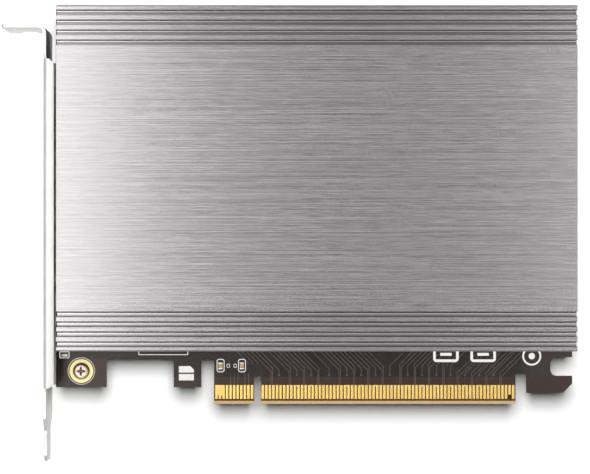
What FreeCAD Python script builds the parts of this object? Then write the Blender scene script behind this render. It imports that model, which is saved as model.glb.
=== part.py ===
"""Adapter card that plugs into a sixteen-lane expansion slot and carries four flat storage modules
side by side under one grooved aluminium heat sink, with a full-height steel mounting bracket.

Millimetres. The origin is the middle of the key notch, on the insertion edge, at half the board's
thickness. +X runs along the card away from the bracket, +Y from the contacts to the top edge,
and +Z out of the component side, so the card lies flat on its solder side.
"""
import FreeCAD
import Part
import math
import os

from FreeCAD import Vector

# Circuit board
board_thickness = 1.57
board_height = 111.15
board_bracket_side = 56.35
router_radius = 1.0
copper_thickness = 0.05

# Tabs and cut-outs along the board's lower edge
shoulder_rise = 4.7
relief_rise = 12.7
bracket_tab_width = 14.1
label_tab_width = 7.7
label_tab_gap = 3.6
heel_gap = 3.1
heel_rise = 8.95
hook_rise = 3.08
hook_length = 12.75
hook_chamfer = 2.6
hook_slot_rise = 7.86
hook_slot_height = 5.24
hook_slot_depth = 6.1
hook_slot_radius = 1.85

# Edge contacts and key notch
contact_spacing = 1.0
contact_width = 0.7
contact_length = 3.85
contact_setback = 1.45
contact_edge_margin = 0.65
presence_contact_setback = 1.2
short_side_contacts = 11
long_side_contacts = 71
key_to_contact = 1.5
key_width = 1.9
key_depth = 8.4
bevel_length = 0.9
bevel_angle = 20.0
bevel_overrun = 1.0
supply_split_length = 1.0
ground_bridge_height = 0.35
component_side_supply = (1, 3)
solder_side_supply = (2, 3)
component_side_ground_pairs = (21, 25, 35, 39, 43, 52, 56, 60, 64, 68, 72, 76)
solder_side_ground_pairs = (23, 27, 37, 41, 45, 50, 54, 58, 62, 66, 70, 74, 78)
component_side_presence_contact = 81
solder_side_presence_contact = 1
transmit_pairs = (14, 19, 23, 27, 33, 37, 41, 45, 50, 54, 58, 62, 66, 70, 74, 78)

# Heat sink
sink_setback = 1.33
sink_low_edge = 15.3
sink_top_setback = 0.8
sink_height = 13.6
sink_corner_radius = 0.5
rail_thickness = 2.2
land_gap = 5.7
land_width = 20.0
channel_depth = 3.0
groove_count = 4
groove_spacing = 2.74
groove_width = 1.37
groove_depth = 2.4
groove_edge_land = 1.3
groove_chamfer = 0.12
boss_diameter = 5.6
boss_end_inset = 4.0
boss_side_inset = 5.8
pad_thickness = 1.0
pad_length = 104.0
pad_margin = 0.5

# Storage module bays
bay_spacing = 22.5
module_lengths = (42.0, 60.0, 110.0)
fitted_module_length = 80.0
module_insertion = 4.0
module_rise = 2.4
module_thickness = 0.8
spare_hole_diameter = 3.5

# Module socket
socket_depth = 8.6
socket_width = 21.9
socket_height = 4.2
socket_jaw_depth = 6.0
socket_slot_width = 20.1
socket_slot_height = 1.0
socket_end_play = 0.5
socket_boss_gap = 0.8
socket_key_offset = 6.125
socket_key_width = 1.0
socket_pin_spacing = 0.5
socket_pin_width = 0.24
socket_pin_thickness = 0.16
socket_pin_reach = 0.9
socket_last_pin = 75
socket_key_first_pin = 59
socket_key_last_pin = 66

# Screws, standoffs and plated holes
screw_diameter = 2.5
screw_head_diameter = 4.7
screw_head_height = 1.8
screw_recess_depth = 1.0
screw_recess_width = 0.62
screw_recess_span = 2.7
screw_rim_share = 0.45
screw_crown_share = 0.62
screw_recess_tip_share = 0.4
sink_screw_length = 6.0
tap_run_out = 0.6
bracket_screw_length = 4.2
thread_play = 0.02
hole_clearance = 0.15
plating_ring_diameter = 6.65
standoff_diameter = 4.6
module_screw_diameter = 2.0
module_screw_length = 2.0
module_screw_head_diameter = 3.6
module_screw_head_height = 0.8
module_screw_recess_depth = 0.45
module_screw_recess_width = 0.45
module_screw_recess_span = 1.9

# Bracket
plate_thickness = 0.86
bracket_width = 18.42
bracket_length = 120.02
bracket_top = 105.0
bracket_board_gap = 1.39
bracket_below_board = 2.55
tab_length = 11.43
tab_overhang = 3.17
tab_bend_radius = 1.5
tab_corner_radius = 0.8
tab_notch_width = 4.42
tab_notch_offset = 5.6
tab_notch_depth = 5.6
flange_width = 2.95
flange_bend_radius = 0.25
flange_low_end = 5.2
flange_high_end = 95.6
flange_relief = 0.7
flange_corner_cut = 1.2
neck_end = -3.15
neck_taper = 3.45
tongue_width = 10.19
tongue_offset = 3.0
tongue_chamfer = 1.5
vent_count = 12
vent_spacing = 6.0
vent_width = 2.8
vent_length = 9.0
vent_middle = 50.0
vent_board_gap = 1.4
ear_width = 8.0
ear_hole_inset = 7.08
ear_low_hole = 9.23
ear_high_hole_inset = 27.15
ear_end_margin = 3.9
ear_corner_radius = 3.0
ear_step_length = 1.9
collar_diameter = 4.4
collar_height = 1.0

# Small parts soldered to the board
chip_terminal_share = 0.25
filter_capacitor_size = (1.25, 2.0, 0.85)
filter_capacitor_places = ((-10.33, 10.74), (-4.35, 10.74))
lamp_size = (0.8, 1.6, 0.6)
lamp_edge_inset = 2.35
lamp_first_rise = 13.6
lamp_boss_gap = 2.025
lamp_count = 5
coupling_size = (0.5, 1.0, 0.5)
coupling_rise = 17.0
coil_side = 4.4
coil_height = 3.0
coil_corner = 0.5
coil_terminal_width = 2.6
coil_terminal_thickness = 0.15
coil_bay_offset = 3.0
regulator_side = 3.0
regulator_height = 0.85
regulator_coil_gap = 1.6
bulk_capacitor_size = (4.3, 7.3, 1.9)
bulk_capacitor_gap = 0.3
clock_chip_side = 5.0
clock_chip_height = 0.9
clock_lead_count = 8
clock_lead_spacing = 0.5
clock_lead_width = 0.24
clock_lead_length = 0.4
clock_lead_thickness = 0.12
clock_chip_gap = 0.8
small_part_gap = 1.2
spare_hole_gap = 1.0

# Points nearer than this are the same point
same_point = 0.000001

# Levels and edges worked out from the sizes above
half_board = board_thickness / 2
face_up = half_board
face_down = -half_board
copper_up = face_up + copper_thickness
copper_down = face_down - copper_thickness
board_left = -board_bracket_side
short_block_left = -(key_to_contact + (short_side_contacts - 1) * contact_spacing + contact_edge_margin)
long_block_right = key_to_contact + (long_side_contacts - 1) * contact_spacing + contact_edge_margin
hook_left = long_block_right + heel_gap
board_right = hook_left + hook_length
sink_left = board_left + sink_setback
sink_right = board_right
sink_low = sink_low_edge
sink_high = board_height - sink_top_setback
sink_top = face_up + sink_height
sink_middle = (sink_low + sink_high) / 2
land_face = face_up + land_gap
bay_count = int((sink_high - sink_low - 2 * rail_thickness) // bay_spacing)
bay_centres = [sink_middle + (n - (bay_count - 1) / 2) * bay_spacing for n in range(bay_count)]
left_boss_x = sink_left + boss_end_inset
right_boss_x = sink_right - boss_end_inset
socket_back_inset = boss_diameter / 2 + socket_boss_gap + socket_pin_reach
socket_left_back = left_boss_x + socket_back_inset
socket_right_back = right_boss_x - socket_back_inset
plate_inner = board_left - bracket_board_gap
plate_outer = plate_inner - plate_thickness
bracket_low = face_down - bracket_below_board
bracket_high = bracket_low + bracket_width
ear_hole_x = board_left + ear_hole_inset
ear_high_hole = board_height - ear_high_hole_inset
screw_hole_radius = screw_diameter / 2 + hole_clearance
plated_bore_radius = screw_hole_radius + copper_thickness


def box(x0, x1, y0, y1, z0, z1):
    """A block between two corners."""
    return Part.makeBox(x1 - x0, y1 - y0, z1 - z0, Vector(x0, y0, z0))


def cylinder(x, y, z0, z1, radius):
    """An upright cylinder between two heights."""
    return Part.makeCylinder(radius, z1 - z0, Vector(x, y, z0))


def fuse(shapes):
    """One solid from several that touch."""
    whole = shapes[0]
    for shape in shapes[1:]:
        whole = whole.fuse(shape)
    return whole.removeSplitter()


def cut(shape, tools):
    """A shape with every tool cut out of it."""
    return shape.cut(Part.Compound(tools)).removeSplitter()


def rounded_wire(corners):
    """A closed wire through (point, radius) corners, with a tangent arc at each that has a radius."""
    edges = []
    ends = []
    count = len(corners)
    for n, (corner, radius) in enumerate(corners):
        before = (corners[n - 1][0] - corner).normalize()
        after = (corners[(n + 1) % count][0] - corner).normalize()
        if radius == 0:
            ends.append((corner, corner))
            continue
        half_turn = before.getAngle(after) / 2
        reach = radius / math.tan(half_turn)
        middle = corner + (before + after).normalize() * (radius / math.sin(half_turn))
        nearest = middle + (corner - middle).normalize() * radius
        start = corner + before * reach
        finish = corner + after * reach
        edges.append(Part.Arc(start, nearest, finish).toShape())
        ends.append((start, finish))
    for n in range(count):
        start = ends[n][1]
        finish = ends[(n + 1) % count][0]
        if (finish - start).Length > same_point:
            edges.append(Part.LineSegment(start, finish).toShape())
    return Part.Wire(Part.__sortEdges__(edges))


def prism(corners, along):
    """A rounded outline pushed along a vector."""
    return Part.Face(rounded_wire(corners)).extrude(along)


def flat(x, y, radius=0):
    """A corner of an outline in the board's plane."""
    return Vector(x, y, face_down), radius


def contact_x(number):
    """The middle of a contact, counted from 1 at the bracket end."""
    if number <= short_side_contacts:
        return -key_to_contact - (short_side_contacts - number) * contact_spacing
    return key_to_contact + (number - short_side_contacts - 1) * contact_spacing


def sink_screw_places():
    """The six screws that pull the heat sink onto the board: three at each end."""
    rows = (sink_low + boss_side_inset, sink_middle, sink_high - boss_side_inset)
    return [(x, y) for x in (left_boss_x, right_boss_x) for y in rows]


def ear_screw_places():
    """The two screws that hold the board to the bracket's ears."""
    return [(ear_hole_x, ear_low_hole), (ear_hole_x, ear_high_hole)]


def bays():
    """Each bay's middle line, its socket's back, and the way its module points."""
    half = (bay_count + 1) // 2
    lower = [(y, socket_left_back, 1) for y in bay_centres[:half]]
    upper = [(y, socket_right_back, -1) for y in bay_centres[half:]]
    return lower + upper


def module_end(back, way, length):
    """Where the far end of a module of some length lies."""
    return back + way * (socket_depth - module_insertion + length)


def far_boss(way):
    """The screw bosses that a module points at."""
    return right_boss_x if way > 0 else left_boss_x


def bulk_capacitor_x(way):
    """Where the reservoirs of one end stand, just inside that end's bosses."""
    return far_boss(way) - way * (boss_diameter / 2 + bulk_capacitor_gap + bulk_capacitor_size[0] / 2)


def coil_x(way):
    """Where the coils of one end stand, just inside the reservoirs."""
    step = bulk_capacitor_size[0] / 2 + small_part_gap + coil_side / 2
    return bulk_capacitor_x(way) - way * step


def spare_holes(back, way):
    """The empty standoff holes of one bay, for each module length that stops short of the coil."""
    limit = coil_x(way) - way * (coil_side / 2 + spare_hole_gap + spare_hole_diameter / 2)
    ends = [module_end(back, way, length) for length in module_lengths]
    return [x for x in ends if way * (limit - x) >= 0]


# Circuit board: a routed laminate with a bevelled insertion edge, a key notch and a retention hook
def board_outline():
    left = board_left
    label_right = short_block_left - label_tab_gap
    label_left = label_right - label_tab_width
    tab_right = left + bracket_tab_width
    key = key_width / 2
    slot_left = board_right - hook_slot_depth
    slot_high = hook_slot_rise + hook_slot_height
    return [
        flat(left, shoulder_rise),
        flat(tab_right, shoulder_rise),
        flat(tab_right, relief_rise, router_radius),
        flat(label_left, relief_rise, router_radius),
        flat(label_left, shoulder_rise),
        flat(label_right, shoulder_rise),
        flat(label_right, relief_rise, router_radius),
        flat(short_block_left, relief_rise, router_radius),
        flat(short_block_left, 0),
        flat(-key, 0),
        flat(-key, key_depth, key),
        flat(key, key_depth, key),
        flat(key, 0),
        flat(long_block_right, 0),
        flat(long_block_right, heel_rise, router_radius),
        flat(hook_left, heel_rise, router_radius),
        flat(hook_left, hook_rise),
        flat(board_right - hook_chamfer, hook_rise),
        flat(board_right, hook_rise + hook_chamfer),
        flat(board_right, hook_slot_rise),
        flat(slot_left, hook_slot_rise, hook_slot_radius),
        flat(slot_left, slot_high, hook_slot_radius),
        flat(board_right, slot_high),
        flat(board_right, board_height),
        flat(left, board_height),
    ]


def bevel_cutter(side):
    """The wedge that the insertion edge loses on one face."""
    face = side * half_board
    drop = side * bevel_length * math.tan(math.radians(bevel_angle))
    start = short_block_left - bevel_overrun
    corners = [
        (Vector(start, 0, face - drop), 0),
        (Vector(start, bevel_length, face), 0),
        (Vector(start, 0, face), 0),
    ]
    return prism(corners, Vector(long_block_right - start + bevel_overrun, 0, 0))


def circuit_board():
    board = prism(board_outline(), Vector(0, 0, board_thickness))
    holes = [
        cylinder(x, y, face_down, face_up, plated_bore_radius)
        for x, y in ear_screw_places()
    ]
    holes += [
        cylinder(x, y, face_down, face_up, screw_hole_radius)
        for x, y in sink_screw_places()
    ]
    for y, back, way in bays():
        holes += [
            cylinder(x, y, face_down, face_up, spare_hole_diameter / 2)
            for x in spare_holes(back, way)
        ]
    return cut(board, holes + [bevel_cutter(1), bevel_cutter(-1)])


# Edge contacts: gold-plated fingers, with the supply contacts joined and the ground pairs bridged
def finger(first, last, side, low, high):
    """One plated field from contact first to contact last, between two distances from the edge."""
    z0, z1 = sorted((side * half_board, side * (half_board + copper_thickness)))
    half = contact_width / 2
    return box(contact_x(first) - half, contact_x(last) + half, low, high, z0, z1)


def plated_fingers(side, joined, bridged, short):
    """All the fingers of one face: the supply ones joined, the ground pairs bridged, one cut short."""
    low = contact_setback
    high = contact_setback + contact_length
    solids = []
    number = 1
    total = short_side_contacts + long_side_contacts
    while number <= total:
        if number == joined[0]:
            split = low + supply_split_length
            pieces = [finger(n, n, side, low, split) for n in range(joined[0], joined[1] + 1)]
            pieces.append(finger(joined[0], joined[1], side, split, high))
            solids.append(fuse(pieces))
            number = joined[1] + 1
        elif number in bridged:
            pieces = [finger(n, n, side, low, high) for n in (number, number + 1)]
            pieces.append(finger(number, number + 1, side, high - ground_bridge_height, high))
            solids.append(fuse(pieces))
            number += 2
        else:
            start = low + presence_contact_setback if number == short else low
            solids.append(finger(number, number, side, start, high))
            number += 1
    return solids


def contacts_component_side():
    return plated_fingers(1, component_side_supply, component_side_ground_pairs,
                          component_side_presence_contact)


def contacts_solder_side():
    return plated_fingers(-1, solder_side_supply, solder_side_ground_pairs,
                          solder_side_presence_contact)


def bracket_hole_plating():
    """A copper spool through the board at each ear: a ring on both faces, joined by the bore."""
    spools = []
    for x, y in ear_screw_places():
        bore = cylinder(x, y, copper_down, copper_up, plated_bore_radius)
        rings = [
            cylinder(x, y, face_up, copper_up, plating_ring_diameter / 2),
            cylinder(x, y, copper_down, face_down, plating_ring_diameter / 2),
        ]
        spool = fuse([bore] + rings)
        spools.append(cut(spool, [cylinder(x, y, copper_down, copper_up, screw_hole_radius)]))
    return spools


# Heat sink: one extrusion with grooves beside both long edges, two side rails and a land over each bay
def groove_corners(edge, way):
    """The outline of the grooves beside one long edge, walked away from that edge."""
    corners = []
    for n in range(groove_count):
        near = edge + way * (groove_edge_land + n * groove_spacing)
        far = near + way * groove_width
        floor = sink_top - groove_depth
        corners += [
            (near - way * groove_chamfer, sink_top),
            (near, sink_top - groove_chamfer),
            (near, floor),
            (far, floor),
            (far, sink_top - groove_chamfer),
            (far + way * groove_chamfer, sink_top),
        ]
    return corners


def sink_profile():
    """The extrusion's outline across the card, as (y, z, radius) corners."""
    ceiling = land_face + channel_depth
    top = groove_corners(sink_low, 1) + groove_corners(sink_high, -1)[::-1]
    under = [(sink_high - rail_thickness, face_up), (sink_high - rail_thickness, ceiling)]
    for middle in reversed(bay_centres):
        high = middle + land_width / 2
        low = middle - land_width / 2
        under += [(high, ceiling), (high, land_face), (low, land_face), (low, ceiling)]
    under += [(sink_low + rail_thickness, ceiling), (sink_low + rail_thickness, face_up)]
    corners = [(sink_low, face_up, 0), (sink_low, sink_top, sink_corner_radius)]
    corners += [(y, z, 0) for y, z in top]
    corners += [(sink_high, sink_top, sink_corner_radius), (sink_high, face_up, 0)]
    corners += [(y, z, 0) for y, z in under]
    return corners


def heat_sink():
    corners = [(Vector(sink_left, y, z), radius) for y, z, radius in sink_profile()]
    body = prism(corners, Vector(sink_right - sink_left, 0, 0))
    # The bosses run up past the channels, so that each one meets the deck all round
    deck = land_face + channel_depth
    bosses = [cylinder(x, y, face_up, deck, boss_diameter / 2) for x, y in sink_screw_places()]
    tap_radius = screw_diameter / 2 + thread_play
    tap_top = face_down + sink_screw_length + tap_run_out
    taps = [cylinder(x, y, face_down, tap_top, tap_radius) for x, y in sink_screw_places()]
    return cut(fuse([body] + bosses), taps)


def thermal_pad(y, back, way):
    """A soft pad stuck to the land over one bay, from just past the socket to the module's far end."""
    start = back + way * (socket_depth + pad_margin)
    finish = start + way * pad_length
    half = land_width / 2 - pad_margin
    x0, x1 = sorted((start, finish))
    return box(x0, x1, y - half, y + half, land_face - pad_thickness, land_face)


# Module socket: a moulded housing with a keyed card slot
def socket_parts(y, back, way):
    """The housing and its contacts, built with the mouth towards +X and then turned if need be."""
    half = socket_width / 2
    top = socket_height
    slot_low = module_rise - (socket_slot_height - module_thickness) / 2
    slot_high = slot_low + socket_slot_height
    slot_half = socket_slot_width / 2
    slot_back = socket_depth - module_insertion - socket_end_play
    housing = box(0, socket_depth, -half, half, 0, top)
    slot = box(slot_back, socket_depth, -slot_half, slot_half, slot_low, slot_high)
    above_lower_jaw = box(socket_jaw_depth, socket_depth, -slot_half, slot_half, slot_low, top)
    key_low = socket_key_offset - socket_key_width / 2
    key_high = socket_key_offset + socket_key_width / 2
    rib = box(slot_back, socket_jaw_depth, key_low, key_high, slot_low, slot_high)
    housing = fuse([cut(housing, [slot, above_lower_jaw]), rib])
    pins = []
    middle_pin = (socket_last_pin + 1) / 2
    for number in range(1, socket_last_pin + 1):
        if socket_key_first_pin <= number <= socket_key_last_pin:
            continue
        side = (number - middle_pin) * socket_pin_spacing / 2
        low = side - socket_pin_width / 2
        high = side + socket_pin_width / 2
        if number % 2:
            pins.append(box(-socket_pin_reach, 0, low, high, 0, socket_pin_thickness))
        else:
            pins.append(box(socket_depth, socket_depth + socket_pin_reach, low, high, 0,
                            socket_pin_thickness))
    placed = []
    for shape in (housing, Part.Compound(pins)):
        shape = shape.copy()
        if way < 0:
            shape.rotate(Vector(0, 0, 0), Vector(0, 0, 1), 180)
        shape.translate(Vector(back, y, face_up))
        placed.append(shape)
    return placed[0], placed[1].Solids


# Screws: pan heads with a cross recess, seated on a face and pointing up or down
def cross_recess(top, depth, width, span):
    """A tapered cross-shaped pit for a screwdriver."""
    arms = []
    for across in (Vector(1, 0, 0), Vector(0, 1, 0)):
        along = Vector(across.y, across.x, 0)
        mouth = span / 2
        tip = mouth * screw_recess_tip_share
        corners = [
            (across * (-width / 2) + along * -mouth + Vector(0, 0, top), 0),
            (across * (-width / 2) + along * mouth + Vector(0, 0, top), 0),
            (across * (-width / 2) + along * tip + Vector(0, 0, top - depth), 0),
            (across * (-width / 2) + along * -tip + Vector(0, 0, top - depth), 0),
        ]
        arms.append(prism(corners, across * width))
    return arms


def pan_screw(shank, length, head, head_height, recess):
    """A screw whose head stands on z = 0 and whose shank points down."""
    centre = Vector(0, 0, 0)
    edge = Vector(head / 2, 0, 0)
    rim = Vector(head / 2, 0, head_height * screw_rim_share)
    crown = Vector(head / 2 * screw_crown_share, 0, head_height)
    top = Vector(0, 0, head_height)
    profile = Part.Wire([
        Part.LineSegment(centre, edge).toShape(),
        Part.LineSegment(edge, rim).toShape(),
        Part.LineSegment(rim, crown).toShape(),
        Part.LineSegment(crown, top).toShape(),
        Part.LineSegment(top, centre).toShape(),
    ])
    pan = Part.Face(profile).revolve(centre, Vector(0, 0, 1), 360)
    body = fuse([pan, cylinder(0, 0, -length, 0, shank / 2)])
    return cut(body, cross_recess(head_height, *recess))


def placed_screw(screw, x, y, z, pointing_down=True):
    """A copy of a screw with the underside of its head at a height."""
    screw = screw.copy()
    if not pointing_down:
        screw.rotate(Vector(0, 0, 0), Vector(1, 0, 0), 180)
    screw.translate(Vector(x, y, z))
    return screw


def board_screw(length):
    recess = (screw_recess_depth, screw_recess_width, screw_recess_span)
    return pan_screw(screw_diameter, length, screw_head_diameter, screw_head_height, recess)


def heat_sink_screws():
    screw = board_screw(sink_screw_length)
    return [placed_screw(screw, x, y, face_down, False) for x, y in sink_screw_places()]


def bracket_screws():
    screw = board_screw(bracket_screw_length)
    return [placed_screw(screw, x, y, copper_up) for x, y in ear_screw_places()]


def module_standoff(x, y):
    """A turned standoff soldered to the board, tapped for the screw that holds a module down."""
    top = face_up + module_rise
    body = cylinder(x, y, face_up, top, standoff_diameter / 2)
    tap = cylinder(x, y, face_up, top, module_screw_diameter / 2 + thread_play)
    return body.cut(tap)


def module_screws():
    recess = (module_screw_recess_depth, module_screw_recess_width, module_screw_recess_span)
    screw = pan_screw(module_screw_diameter, module_screw_length, module_screw_head_diameter,
                      module_screw_head_height, recess)
    top = face_up + module_rise
    return [
        placed_screw(screw, module_end(back, way, fitted_module_length), y, top)
        for y, back, way in bays()
    ]


# Bracket: one folded steel sheet with two stiffening flanges, a screw tab, a tongue and two ears
def plate_outline():
    """The flat plate, seen from outside the case, without its folds."""
    x = plate_outer
    low = bracket_low
    high = bracket_high
    tongue_high = high - tongue_offset
    tongue_low = tongue_high - tongue_width
    end = bracket_top - bracket_length
    taper_end = neck_end - neck_taper
    points = [
        (bracket_top - tab_bend_radius - plate_thickness, low),
        (bracket_top - tab_bend_radius - plate_thickness, high),
        (neck_end, high),
        (taper_end, tongue_high),
        (end + tongue_chamfer, tongue_high),
        (end, tongue_high - tongue_chamfer),
        (end, tongue_low + tongue_chamfer),
        (end + tongue_chamfer, tongue_low),
        (taper_end, tongue_low),
        (neck_end, low),
    ]
    return [(Vector(x, y, z), 0) for y, z in points]


def vent_slots():
    """A row of round-ended slots through the plate, above the board."""
    radius = vent_width / 2
    low = face_up + vent_board_gap
    slots = []
    for n in range(vent_count):
        y = vent_middle + (n - (vent_count - 1) / 2) * vent_spacing
        corners = [
            (Vector(plate_outer, y - radius, low), radius),
            (Vector(plate_outer, y + radius, low), radius),
            (Vector(plate_outer, y + radius, low + vent_length), radius),
            (Vector(plate_outer, y - radius, low + vent_length), radius),
        ]
        slots.append(prism(corners, Vector(plate_thickness, 0, 0)))
    return slots


def flange(side):
    """One long edge of the plate folded inwards, with its corners cut at both ends."""
    edge = bracket_high if side > 0 else bracket_low
    inner = edge - side * plate_thickness
    root = edge - side * (plate_thickness + flange_bend_radius)
    reach = plate_outer + flange_width
    outer_bend = flange_bend_radius + plate_thickness
    y = flange_low_end
    corners = [
        (Vector(plate_outer, y, root), 0),
        (Vector(plate_outer, y, edge), outer_bend),
        (Vector(reach, y, edge), 0),
        (Vector(reach, y, inner), 0),
        (Vector(plate_inner, y, inner), flange_bend_radius),
        (Vector(plate_inner, y, root), 0),
    ]
    fold = prism(corners, Vector(0, flange_high_end - flange_low_end, 0))
    low_z, high_z = sorted((inner, edge))
    trims = []
    for end, way in ((flange_low_end, 1), (flange_high_end, -1)):
        trims.append(prism([
            (Vector(reach, end, low_z), 0),
            (Vector(reach, end + way * flange_corner_cut, low_z), 0),
            (Vector(reach - flange_corner_cut, end, low_z), 0),
        ], Vector(0, 0, high_z - low_z)))
    return cut(fold, trims)


def fold_reliefs(side):
    """The strip of flat plate that a fold takes the place of, and a small notch past each of its ends."""
    edge = bracket_high if side > 0 else bracket_low
    root = edge - side * (plate_thickness + flange_bend_radius)
    z0, z1 = sorted((edge, root))
    start = flange_low_end - flange_relief
    finish = flange_high_end + flange_relief
    return box(plate_outer, plate_inner, start, finish, z0, z1)


def screw_tab():
    """The top of the plate folded outwards, with a notch for the case's screw."""
    z = bracket_low - tab_overhang
    top = bracket_top
    under = top - plate_thickness
    tip = plate_outer - tab_length
    foot = top - tab_bend_radius - plate_thickness
    corners = [
        (Vector(plate_inner, foot, z), 0),
        (Vector(plate_inner, top, z), tab_bend_radius + plate_thickness),
        (Vector(tip, top, z), 0),
        (Vector(tip, under, z), 0),
        (Vector(plate_outer, under, z), tab_bend_radius),
        (Vector(plate_outer, foot, z), 0),
    ]
    fold = prism(corners, Vector(0, 0, bracket_high - z))
    # Below the plate's own edge, only the flat part of the tab stands out
    bend_start = plate_outer - tab_bend_radius
    overhang_cut = box(bend_start, plate_inner, foot, top, z, bracket_low)
    notch_x = plate_outer - tab_notch_offset
    half = tab_notch_width / 2
    depth = z + tab_notch_depth
    notch = prism([
        (Vector(notch_x - half, under, z), 0),
        (Vector(notch_x - half, under, depth), half),
        (Vector(notch_x + half, under, depth), half),
        (Vector(notch_x + half, under, z), 0),
    ], Vector(0, plate_thickness, 0))
    fold = cut(fold, [overhang_cut, notch])
    ends = [
        edge for edge in fold.Edges
        if abs(edge.BoundBox.XLength) < same_point and abs(edge.BoundBox.ZLength) < same_point
        and abs(edge.BoundBox.XMin - tip) < same_point
    ]
    return fold.makeFillet(tab_corner_radius, ends)


def ear(hole_y):
    """A strip of the lower flange that steps up to the board's solder side and takes a screw."""
    rest = copper_down
    low = bracket_low
    t = plate_thickness
    start = plate_outer + flange_width - t
    rise_start = plate_outer + flange_width
    rise_end = rise_start + ear_step_length
    finish = ear_hole_x + ear_end_margin
    # The sheet's upper face turns earlier than its lower one, so that the slope is as thick as the rest
    lead = t * math.tan(math.atan2(rest - t - low, ear_step_length) / 2)
    y = hole_y - ear_width / 2
    corners = [
        (Vector(start, y, low), 0),
        (Vector(rise_start, y, low), 0),
        (Vector(rise_end, y, rest - t), 0),
        (Vector(finish, y, rest - t), 0),
        (Vector(finish, y, rest), 0),
        (Vector(rise_end - lead, y, rest), 0),
        (Vector(rise_start - lead, y, low + t), 0),
        (Vector(start, y, low + t), 0),
    ]
    strip = prism(corners, Vector(0, ear_width, 0))
    ends = [
        edge for edge in strip.Edges
        if abs(edge.BoundBox.XMin - finish) < same_point and abs(edge.BoundBox.YLength) < same_point
    ]
    strip = strip.makeFillet(ear_corner_radius, ends)
    return fuse([strip, cylinder(ear_hole_x, hole_y, rest - t - collar_height, rest - t,
                                 collar_diameter / 2)])


def bracket():
    plate = prism(plate_outline(), Vector(plate_thickness, 0, 0))
    plate = cut(plate, vent_slots() + [fold_reliefs(1), fold_reliefs(-1)])
    ears = [ear(y) for x, y in ear_screw_places()]
    whole = fuse([plate, flange(1), flange(-1), screw_tab()] + ears)
    taps = [
        cylinder(x, y, bracket_low - collar_height, face_up, screw_diameter / 2 + thread_play)
        for x, y in ear_screw_places()
    ]
    return cut(whole, taps)


# Small parts: two-ended chips, coils, regulators and the clock chip
def chip(size, x, y, side=1, turn=0):
    """A two-ended chip on one face of the board, along Y unless it is turned: its body and end caps."""
    width, length, height = size
    cap = length * chip_terminal_share
    z0, z1 = sorted((side * half_board, side * (half_board + height)))
    x0 = x - width / 2
    x1 = x + width / 2
    low = y - length / 2
    high = y + length / 2
    body = box(x0, x1, low + cap, high - cap, z0, z1)
    caps = [box(x0, x1, low, low + cap, z0, z1), box(x0, x1, high - cap, high, z0, z1)]
    for shape in [body] + caps:
        shape.rotate(Vector(x, y, 0), Vector(0, 0, 1), turn)
    return body, caps


def chips(size, places, side=1, turn=0):
    """The bodies and the end caps of several like chips."""
    made = [chip(size, x, y, side, turn) for x, y in places]
    return [body for body, caps in made], [cap for body, caps in made for cap in caps]


def lamp_places():
    """A row along the bracket's edge, from below the heat sink up to the middle screw boss."""
    x = board_left + lamp_edge_inset
    last = sink_middle - boss_diameter / 2 - lamp_boss_gap - lamp_size[0] / 2
    spacing = (last - lamp_first_rise) / (lamp_count - 1)
    return [(x, lamp_first_rise + n * spacing) for n in range(lamp_count)]


def coupling_places():
    """Above each transmitting pair of contacts, on the solder side."""
    numbers = [n for first in transmit_pairs for n in (first, first + 1)]
    return [(contact_x(n), coupling_rise) for n in numbers]


def coil_places():
    """One coil in each bay, past the hole for the longest module."""
    return [(coil_x(way), y + coil_bay_offset) for y, back, way in bays()]


def coil(x, y):
    """A moulded coil and the two metal ends folded under it."""
    half = coil_side / 2
    lift = coil_terminal_thickness
    body = box(x - half, x + half, y - half, y + half, face_up + lift, face_up + coil_height)
    upright = [
        edge for edge in body.Edges
        if abs(edge.BoundBox.XLength) < same_point and abs(edge.BoundBox.YLength) < same_point
    ]
    body = body.makeChamfer(coil_corner, upright)
    ends = []
    for way in (-1, 1):
        y0, y1 = sorted((y + way * half, y + way * half / 2))
        ends.append(box(x - coil_terminal_width / 2, x + coil_terminal_width / 2, y0, y1,
                        face_up, face_up + lift))
    return body, ends


def regulator(x, y):
    """A square power chip beside its coil."""
    half = regulator_side / 2
    middle = y - coil_side / 2 - regulator_coil_gap - half
    return box(x - half, x + half, middle - half, middle + half, face_up, face_up + regulator_height)


def bulk_capacitor_places():
    """One reservoir beside the outermost coil at each end of the board."""
    y, back, way = bays()[0]
    far_y, far_back, far_way = bays()[-1]
    return [
        (bulk_capacitor_x(way), y + coil_bay_offset),
        (bulk_capacitor_x(far_way), far_y + coil_bay_offset),
    ]


def clock_chip():
    """The clock driver: a square chip with flat leads along all four sides."""
    half = clock_chip_side / 2
    x, coil_y = coil_places()[0]
    regulator_low = coil_y - coil_side / 2 - regulator_coil_gap - regulator_side
    y = regulator_low - clock_chip_gap - clock_lead_length - half
    body = box(x - half, x + half, y - half, y + half, face_up, face_up + clock_chip_height)
    lead_top = face_up + clock_lead_thickness
    reach = half + clock_lead_length
    leads = []
    for n in range(clock_lead_count):
        side = (n - (clock_lead_count - 1) / 2) * clock_lead_spacing
        low = side - clock_lead_width / 2
        high = side + clock_lead_width / 2
        leads += [
            box(x - reach, x - half, y + low, y + high, face_up, lead_top),
            box(x + half, x + reach, y + low, y + high, face_up, lead_top),
            box(x + low, x + high, y - reach, y - half, face_up, lead_top),
            box(x + low, x + high, y + half, y + reach, face_up, lead_top),
        ]
    return body, leads


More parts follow.
